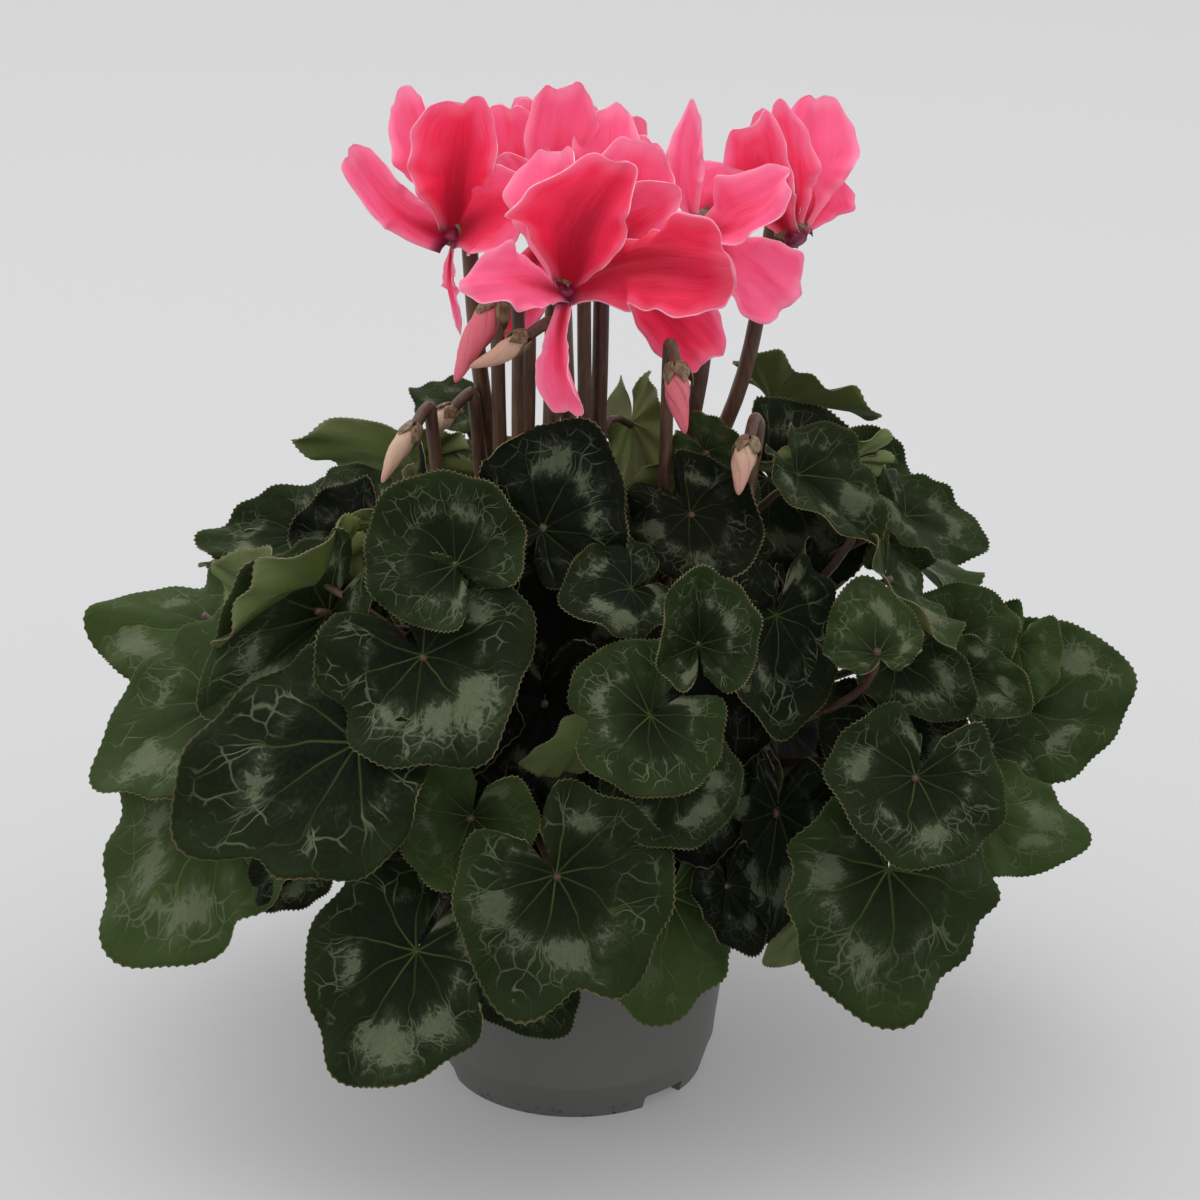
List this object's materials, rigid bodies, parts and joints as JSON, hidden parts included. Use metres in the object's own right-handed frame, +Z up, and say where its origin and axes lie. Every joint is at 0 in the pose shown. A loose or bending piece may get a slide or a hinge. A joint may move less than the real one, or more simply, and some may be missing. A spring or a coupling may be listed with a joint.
{
  "type": "potted cyclamen",
  "caption": "Flowering house plant: a tuber in a round grey nursery pot carries a dome of heart-shaped patterned leaves, with pink swept-back flowers and nodding buds above them",
  "frame": {"origin": "middle of the pot's flat underside, on the surface the pot stands on", "axes": "+Z up along the pot's axis, -Y towards the plant's front, +X to the front view's right"},
  "size_m": [0.3814, 0.3072, 0.3783],
  "materials": {
    "pot_plastic": "satin",
    "soil": "matte",
    "tuber_skin": "matte",
    "leaf": "satin",
    "petal": "matte",
    "bud": "matte"
  },
  "bodies": {
    "root": {"pot": "pot_plastic", "potting_soil": "soil", "tuber": "tuber_skin", "leaf_01": "leaf", "leaf_02": "leaf", "leaf_03": "leaf", "leaf_04": "leaf", "leaf_05": "leaf", "leaf_06": "leaf", "leaf_07": "leaf", "leaf_08": "leaf", "leaf_09": "leaf", "leaf_10": "leaf", "leaf_11": "leaf", "leaf_12": "leaf", "leaf_13": "leaf", "leaf_14": "leaf", "leaf_15": "leaf", "leaf_16": "leaf", "leaf_17": "leaf", "leaf_18": "leaf", "leaf_19": "leaf", "leaf_20": "leaf", "leaf_21": "leaf", "leaf_22": "leaf", "leaf_23": "leaf", "leaf_24": "leaf", "leaf_25": "leaf", "leaf_26": "leaf", "leaf_27": "leaf", "leaf_28": "leaf", "leaf_29": "leaf", "leaf_30": "leaf", "leaf_31": "leaf", "leaf_32": "leaf", "leaf_33": "leaf", "leaf_34": "leaf", "leaf_35": "leaf", "leaf_36": "leaf", "leaf_37": "leaf", "leaf_38": "leaf", "leaf_39": "leaf", "leaf_40": "leaf", "leaf_41": "leaf", "leaf_42": "leaf", "leaf_43": "leaf", "leaf_44": "leaf", "flower_1": "petal", "flower_2": "petal", "flower_3": "petal", "flower_4": "petal", "flower_5": "petal", "flower_6": "petal", "flower_7": "petal", "bud_1": "bud", "bud_2": "bud", "bud_3": "bud", "bud_4": "bud", "bud_5": "bud", "bud_6": "bud"}
  },
  "joints": []
}
